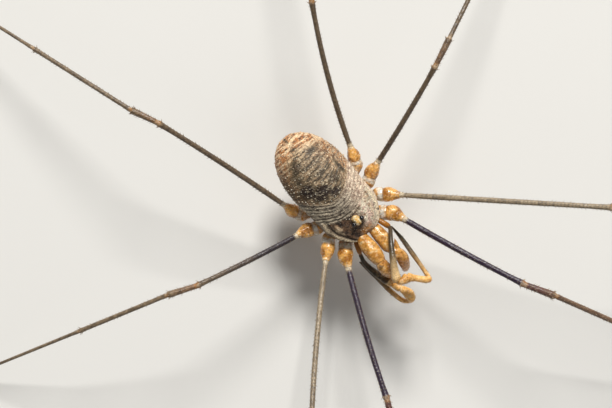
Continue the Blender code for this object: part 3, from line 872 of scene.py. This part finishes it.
def walk(start, length, headings, pitches, side):
    """Points a set length along a path whose heading and pitch change evenly."""
    steps = int(length / RING_STEP)
    share = (np.arange(steps) + 0.5) / steps
    heading = np.radians(headings[0] + (headings[1] - headings[0]) * share)
    pitch = np.radians(pitches[0] + (pitches[1] - pitches[0]) * share)
    level = np.cos(pitch)
    ahead = np.stack([side * np.sin(heading) * level, -np.cos(heading) * level, np.sin(pitch)], 1)
    return np.concatenate([[start], start + np.cumsum(ahead * length / steps, axis=0)])


def landing_pitch(height, length):
    """The slope at which a metatarsus brings the tarsus down level on the floor."""
    low = 0.0
    high = math.pi / 3
    for _ in range(40):
        middle = (low + high) / 2
        if height - length * math.sin(middle) - TARSUS_BEND / 2 * math.tan(middle) > 0:
            low = middle
        else:
            high = middle
    return math.degrees(middle)


def collar_share(distance, pair):
    """One at the granular ring where the femur leaves the hip's bulb."""
    return bell(distance - BULB_END * pair["bulb"], 0.06, 0.15, 4)


def leg_line(leg):
    """The leg's centre line with radius, segment number, share along the segment and length so far."""
    pair = LEG_PAIRS[leg["pair"]]
    side = SIDES[leg["side"]]
    shank = (leg["shank"],) * 2
    turns = {"femur": (leg["femur"] - leg["bow"], leg["femur"] + leg["bow"]),
             "patella": (leg["patella"],) * 2, "tibia": shank}
    slopes = {"femur": (pair["rise"] + 4, pair["rise"] - 4), "patella": (2, -10),
              "tibia": (2 - pair["drop"], -2 - pair["drop"])}
    joint = sided(pair["hip"], side)
    paths = []
    for part, turn in turns.items():
        paths.append(walk(joint, pair[part], turn, slopes[part], side))
        joint = paths[-1][-1]
    floor = CAD_FOOT_RADIUS * FLAT_SHARE
    pitch = landing_pitch(joint[2] + BODY_HEIGHT - floor, pair["metatarsus"])
    shin = walk(joint, pair["metatarsus"], shank, (-pitch, -pitch), side)
    foot = walk(shin[-1], pair["tarsus"], (leg["shank"], leg["shank"] + leg["curl"]), (0, 0), side)
    share = np.linspace(0, 1, len(foot))
    left = np.clip(1.0 - share * pair["tarsus"] / TARSUS_BEND, 0.0, None)
    fall = TARSUS_BEND / 2 * math.tan(math.radians(pitch))
    own = np.interp(share, *PROFILES["tarsus"])
    foot[:, 2] = own + FOOT_LIFT - BODY_HEIGHT + fall * left ** 2
    shin[:, 2] -= (floor - own[0]) * np.linspace(0, 1, len(shin))
    paths += [shin, foot]
    rows = []
    for number, (part, path) in enumerate(zip(PROFILES, paths)):
        share = np.linspace(0, 1, len(path))
        radii = np.interp(share, *PROFILES[part])
        if leg["pair"] == 1 and number < 3:
            radii = radii * FIRST_LEG_STOUTNESS
        if part == "femur":
            radii = radii + 0.035 * collar_share(share * pair["femur"], pair)
        if part == "tarsus":
            joints = 34 if leg["pair"] != 2 else 52
            radii = radii * (0.93 + 0.17 * ((share * joints) % 1.0))
        rows.append(np.column_stack([path, radii, np.full(len(path), number), share]))
    rows = np.concatenate([part[:-1] for part in rows[:-1]] + rows[-1:])
    bend = np.ones(5) / 5
    for axis in range(3):
        rows[2:-2, axis] = np.convolve(rows[:, axis], bend, "valid")
    gaps = np.linalg.norm(np.diff(rows[:, :3], axis=0), axis=1)
    return np.column_stack([rows, np.concatenate([[0.0], np.cumsum(gaps)])])


def leg_tint(leg, rings, line):
    """Femur from its near to its far colour, pale rings at the joints, lighter towards the foot."""
    near, far, shank = leg["looks"]
    segment, share, length = (line[:, column, None] for column in (4, 5, 6))
    fine = clouds(rings, 7.0, 3, 71)
    broad = clouds(rings, 1.1, 2, 72 + leg["pair"])
    turn = np.arange(LEG_SIDES)
    spacing = 0.3 + 0.02 * (turn % 5)
    depth = 0.65 * (near not in (BLACK, VIOLET))
    if leg["pair"] == 2:
        spacing = 0.225
        depth = 0.85
    dots = bell((length / spacing) % 1.0, 0.5, 0.17) * (turn % 2 == 0) * (segment < 3)
    base = (segment == 0) * collar_share(length, LEG_PAIRS[leg["pair"]])
    knees = sum((segment == number) * shape(low, high, share) for number, shape, low, high in KNEES)
    return paint(
        mix(near, far, ease(0.35, 0.95, share + (broad - 0.5) * 0.5) * (segment == 0) + (segment > 0)),
        (RUST, 0.18 * (segment == 1)),
        (shank, ease(1.2, 2.2, segment + share)),
        (LEG_TAN, 0.5 * ease(3.2, 4.5, segment + share)),
        (DARK, 0.5 * fade(0.3, 0.52, fine) * (segment < 4)),
        (PALE, 0.2 * ease(0.6, 0.75, fine) * (segment > 0)),
        (DARK, depth * dots),
        (CREAM, 0.85 * base * ease(0.3, 0.5, fine + 0.1)),
        (mix(AMBER, PALE, ease(0.35, 0.65, fine)), 0.62 * knees))


SPINE_SPACING = (0.34, 0.26, 0.36, 0.4, 0.2)
SPINE_SIZES = (1.0, 1.15, 0.9, 0.75, 0.75)
CROWNS = ((0, 0.975), (1, 0.9), (2, 0.975))


def leg_spines(leg, rings, line):
    """Rows of short spines, stout crowns at the knees and fine hairs on the foot."""
    picks = []
    last = -1.0
    for index in range(8, len(line) - 3):
        segment = int(line[index, 4])
        if line[index, 6] - last < SPINE_SPACING[segment] / 2:
            continue
        last = line[index, 6]
        turn = rng.integers(0, 2)
        for row in range(turn, LEG_SIDES, 3 if segment < 4 else 4):
            if rng.uniform() < 0.8:
                size = SPINE_SIZES[segment] * rng.uniform(0.7, 1.25)
                picks.append((index, (row + rng.integers(0, 2)) % LEG_SIDES, size, segment))
    for segment, share in CROWNS:
        index = int(np.argmin(np.abs(line[:, 4] - segment) * 9 + np.abs(line[:, 5] - share)))
        for column in range(0, LEG_SIDES, 2):
            picks.append((index, column, 1.6, segment))
    picks = [pick for pick in picks if rings[pick[0], pick[1], 2] > line[pick[0], 2] - 0.02 or pick[3] < 4]
    rows, columns, sizes, segments = (np.array(column) for column in zip(*picks))
    upper = segments < 3
    leans = unit(np.gradient(line[:, :3], axis=0))[rows] * np.where(upper, 0.9, 1.6)[:, None]
    leans = grid_normals(rings)[rows, columns] + leans
    tints = mix(BROWN, CREAM, (0.75 if leg["pair"] == 1 else 0.35) * rng.uniform(0.4, 1.0, len(picks)))
    lengths = sizes * np.where(upper, 0.125, 0.14)
    widths = sizes * np.where(upper, 0.019, 0.01)
    ends = rings[rows, columns, 2] + lengths * leans[:, 2] / np.linalg.norm(leans, axis=1)
    ceiling = cad_high[2] / MM - BODY_HEIGHT
    lengths = np.where((ends > ceiling - 0.01) | (ends < 0.01 - BODY_HEIGHT), 0.35 * lengths, lengths)
    spikes_piece(leg_name(leg) + "_spines", rings, rows, columns, leans, lengths, widths, tints, BRISTLE)


def make_leg(leg):
    whole = leg_line(leg)
    line = whole[:-2]
    rings = sweep(line[:, :3], line[:, 3], LEG_SIDES)
    name = leg_name(leg)
    grid_piece(name + "_skin", rings, leg_tint(leg, rings, line), LEGGY, "leg",
               *(name + "_" + part for part in ("femur", "patella", "tibia", "foot")))
    leg_spines(leg, rings, line)

    start, end = whole[-4, :3], whole[-1, :3].copy()
    end[2] = CLAW_TIP - BODY_HEIGHT
    crest = (start + end) / 2 + (0.0, 0.0, 0.035)
    rows = smooth_line(((*start, 0.034), (*crest, 0.03), (*end, 0.004)), 8)
    rings = sweep(rows[:, :3], rows[:, 3], 10)
    grid_piece(name + "_claw", rings, mix(DARK, BROWN, 0.35 * clouds(rings, 8.0, 2, 75)), BRISTLE, "leg")


# Jaws
# Points along each part: place and radius, in hundredths of a millimetre
JAWS = {
    "right": {
        "base": ((-46, -62, -16, 24), (-49, -100, 0, 40), (-53, -170, 24, 50), (-57, -235, 36, 45),
                 (-59, -274, 30, 32), (-60, -290, 24, 6)),
        "hand": ((-58, -254, 42, 8), (-61, -274, 36, 32), (-66, -324, 6, 42), (-56, -366, -55, 36),
                 (-40, -370, -115, 22), (-34, -364, -160, 10), (-33, -352, -195, 2)),
        "horn": ((-60, -300, 22, 20), (-68, -292, 58, 14), (-73, -284, 82, 8), (-76, -276, 98, 1)),
        "finger": ((-24, -366, -100, 10), (-14, -368, -135, 9), (-16, -362, -170, 6), (-25, -354, -198, 1)),
    },
    "left": {
        "base": ((42, -62, -30, 22), (45, -100, -26, 38), (45, -170, -18, 46), (38, -230, -12, 40),
                 (36, -262, -10, 28), (36, -276, -10, 6)),
        "hand": ((34, -248, -2, 8), (40, -268, -4, 28), (55, -325, -20, 38), (44, -375, -72, 34),
                 (28, -406, -128, 22), (20, -408, -170, 10), (17, -400, -208, 2)),
        "horn": ((58, -305, -14, 22), (74, -272, 2, 16), (88, -242, 16, 9), (97, -222, 26, 1)),
        "finger": ((36, -410, -110, 10), (42, -416, -145, 9), (34, -412, -185, 6), (22, -404, -210, 1)),
    },
}
HAND_SIDES = 32
JAW_HAIRS = 70


def make_jaw_piece(name, controls, sides, *replaced, flatten=1.0, dark_tip=False, steps=14):
    rows = smooth_line(np.array(controls) / 100, steps)
    rings = sweep(rows[:, :3], np.maximum(rows[:, 3], 0.012), sides, flatten)
    normals = grid_normals(rings)
    lumps = clouds(rings, 2.2, 3, 81)
    rings = rings + normals * (0.05 * (lumps - 0.5))[..., None]
    share = np.linspace(0, 1, len(rows))[:, None]
    fine = clouds(rings, 7.0, 3, 82)
    # Share facing up, for painted light: orange and pale highlight dabs on top, amber in painted shade
    # beneath
    upper = ease(-0.1, 0.9, normals[..., 2])
    highlight_dabs = fade(0.22, 0.46, grains(rings, 4.5, 83)) * upper
    colour = paint(
        # Lighter orange on the upper side, darker amber beneath: painted light and shade
        mix(AMBER, ORANGE, 0.15 + 0.85 * upper * ease(0.25, 0.6, lumps)),
        # Pale pebbled dabs on the upper side: painted highlights
        (JAW_HIGHLIGHT, 0.75 * highlight_dabs * ease(0.35, 0.55, fine)),
        (JAW_SHADE, 0.4 * fade(0.36, 0.5, fine)),
        (TAN, 0.55 * fade(0.0, 0.16, share)))
    if dark_tip:
        colour = mix(colour, DARK, 0.9 * ease(0.86, 0.97, share))
    grid_piece(name, rings, colour, HORNY, "jaw", *replaced)
    return rings, normals


def make_jaws():
    """Basal article, hand with the fixed finger, movable finger and the male's horn, on each side."""
    for side, parts in JAWS.items():
        prefix = "chelicera_" + side
        make_jaw_piece(prefix + "_base_skin", parts["base"], 36, prefix + "_base", flatten=0.94)
        rings, normals = make_jaw_piece(prefix + "_hand_skin", parts["hand"], HAND_SIDES, prefix + "_hand",
                                        dark_tip=True)
        make_jaw_piece(prefix + "_horn", parts["horn"], 20, steps=8)
        make_jaw_piece(prefix + "_finger", parts["finger"], 16, dark_tip=True, steps=8)
        rows = rng.integers(6, len(rings) - 12, JAW_HAIRS)
        columns = rng.integers(0, HAND_SIDES, JAW_HAIRS)
        leans = normals[rows, columns] + (0.0, -0.6, -0.5)
        spikes_piece(prefix + "_hairs", rings, rows, columns, leans, rng.uniform(0.08, 0.14, JAW_HAIRS),
                     np.full(JAW_HAIRS, 0.007), mix(BROWN, TAN, rng.uniform(0, 1, JAW_HAIRS)), BRISTLE)


# Palps
# Points from trochanter to claw, as for the jaws; cuts are the joints, as shares of the length
PALPS = {
    "left": {
        "path": ((92, -62, -38, 13), (114, -128, -28, 17), (116, -162, 26, 13), (80, -205, 86, 14),
                 (20, -285, 120, 19), (-26, -355, 126, 23), (-56, -406, 120, 29), (-52, -434, 112, 22),
                 (-30, -446, 106, 25), (-4, -450, 98, 31), (22, -476, 90, 21), (50, -510, 82, 20),
                 (78, -540, 66, 22), (92, -534, 36, 15), (102, -480, -6, 13), (118, -360, -92, 15),
                 (130, -260, -152, 13), (134, -164, -200, 5)),
        "cuts": (0.1, 0.385, 0.53, 0.705), "pale": 0.17,
    },
    "right": {
        "path": ((-80, -60, -42, 14), (-106, -128, -50, 17), (-124, -170, -76, 13), (-136, -220, -96, 15),
                 (-130, -290, -108, 20), (-116, -355, -106, 23), (-100, -410, -100, 25),
                 (-93, -438, -92, 20), (-82, -462, -78, 25), (-70, -494, -62, 24), (-63, -528, -52, 32),
                 (-70, -560, -62, 28), (-96, -562, -92, 15), (-120, -528, -114, 15), (-134, -440, -164, 16),
                 (-138, -340, -198, 16), (-146, -260, -220, 13), (-154, -196, -234, 5)),
        "cuts": (0.1, 0.385, 0.5, 0.69), "pale": 0.05,
    },
}
PALP_SIDES = 20
PALP_HAIRS = 420


def make_palp(side):
    """One skin from trochanter to claw: olive femur, amber knee and shank, brown foot."""
    palp = PALPS[side]
    rows = smooth_line(np.array(palp["path"]) / 100, 12)
    share = np.linspace(0, 1, len(rows))
    radii = rows[:, 3].copy()
    for cut in palp["cuts"]:
        radii *= 1.0 - 0.3 * bell(share, cut, 0.008)
    rings = sweep(rows[:, :3], radii, PALP_SIDES)
    spread = share[:, None]
    fine = clouds(rings, 7.0, 3, 91)
    lumps = clouds(rings, 2.0, 3, 92)
    trochanter, knee, shank, foot = palp["cuts"]
    creamy = ease(knee - palp["pale"], knee - 0.04, spread + (lumps - 0.5) * 0.05)
    colour = paint(
        mix(OLIVE, BROWN, 0.3 * ease(0.35, 0.6, fine)),
        (PALP_HONEY, 0.95 * creamy),
        (mix(AMBER, ORANGE, ease(0.3, 0.6, lumps)), ease(knee - 0.05, knee + 0.01, spread)),
        (PALP_ORANGE, ease(shank - 0.04, shank + 0.06, spread)),
        (PALP_DAB, 0.55 * ease(0.52, 0.66, fine) * ease(knee - 0.2, knee, spread)),
        (AMBER, 0.5 * fade(0.34, 0.48, fine) * ease(knee - 0.1, knee, spread)),
        (mix(OLIVE, GREY, ease(0.3, 0.7, fine)), ease(foot + 0.05, foot + 0.2, spread)),
        (AMBER, 0.8 * fade(trochanter - 0.02, trochanter + 0.02, spread)))
    prefix = "palp_" + side
    grid_piece(prefix + "_skin", rings, colour, PALPY, "palp",
               *(prefix + "_" + part for part in ("femur", "tibia", "tarsus")))

    at = rng.integers(26, len(rows) - 3, PALP_HAIRS)
    columns = rng.integers(0, PALP_SIDES, PALP_HAIRS)
    leans = grid_normals(rings)[at, columns] + unit(np.gradient(rows[:, :3], axis=0))[at] * 1.1
    lengths = np.where(share[at] > foot, 0.11, 0.08) * rng.uniform(0.7, 1.2, PALP_HAIRS)
    spikes_piece(prefix + "_hairs", rings, at, columns, leans, lengths, np.full(PALP_HAIRS, 0.008),
                 mix(DARK, TAN, rng.uniform(0, 0.8, PALP_HAIRS)), BRISTLE)


# Stage, light and camera
FLOOR_REACH = 0.6
FLOOR_DROP = 0.00002


def make_floor():
    mesh = bpy.data.meshes.new("floor")
    corners = [(FLOOR_REACH * x, FLOOR_REACH * y, 0) for x, y in ((-1, -1), (1, -1), (1, 1), (-1, 1))]
    mesh.from_pydata(corners, [], [(0, 1, 2, 3)])
    material, _, shader = new_material("pale_floor")
    fill(shader, {"Base Color": FLOOR_GREY, "Roughness": 0.8})
    mesh.materials.append(material)
    floor = new_object("floor", mesh)
    floor.location.z = -FLOOR_DROP


IMAGE_RIGHT = np.array([0.7431, -0.6691, 0.0])
IMAGE_UP = np.array([0.6691, 0.7431, 0.0])
VIEW_CENTRE = (-1.61, 2.85, 0.6)
VIEW_WIDTH = 36.7
CAMERA_DISTANCE = 190.0
SENSOR_WIDTH = 36.0


def make_camera():
    data = bpy.data.cameras.new("camera")
    data.sensor_width = SENSOR_WIDTH
    data.lens = SENSOR_WIDTH * CAMERA_DISTANCE / VIEW_WIDTH
    data.clip_start = 0.02
    data.clip_end = 5.0
    camera = new_object("camera", data)
    turn = Matrix((IMAGE_RIGHT, IMAGE_UP, (0.0, 0.0, 1.0))).transposed().to_4x4()
    camera.matrix_world = Matrix.Translation(to_world(VIEW_CENTRE) + [0, 0, CAMERA_DISTANCE * MM]) @ turn
    bpy.context.scene.camera = camera


def make_light(name, right, up, height, size, power, colour=(1.0, 1.0, 1.0)):
    """A soft square lamp placed in picture directions, in millimetres, aimed at the trunk."""
    data = bpy.data.lights.new(name, "AREA")
    data.size = size * MM
    data.energy = power
    data.color = colour
    lamp = new_object(name, data)
    place = IMAGE_RIGHT * right + IMAGE_UP * up + (0.0, 0.0, height)
    lamp.location = to_world(place)
    lamp.rotation_euler = Vector(-place).to_track_quat("-Z", "Y").to_euler()


def make_lights():
    make_light("key", right=40, up=400, height=420, size=160, power=4.3, colour=LAMP_WARM)
    make_light("fill", right=300, up=-260, height=420, size=420, power=0.5)
    world = bpy.data.worlds.new("studio")
    world.use_nodes = True
    fill(world.node_tree.nodes["Background"], {"Color": STUDIO_WHITE, "Strength": 0.16})
    bpy.context.scene.world = world
    bpy.context.scene.view_settings.view_transform = "Standard"


body = make_trunk()
make_tubercles(*body)
make_eyes()
for one in LEGS:
    make_hip(one, body)
    make_leg(one)
make_jaws()
for one in SIDES:
    make_palp(one)
make_floor()
make_camera()
make_lights()
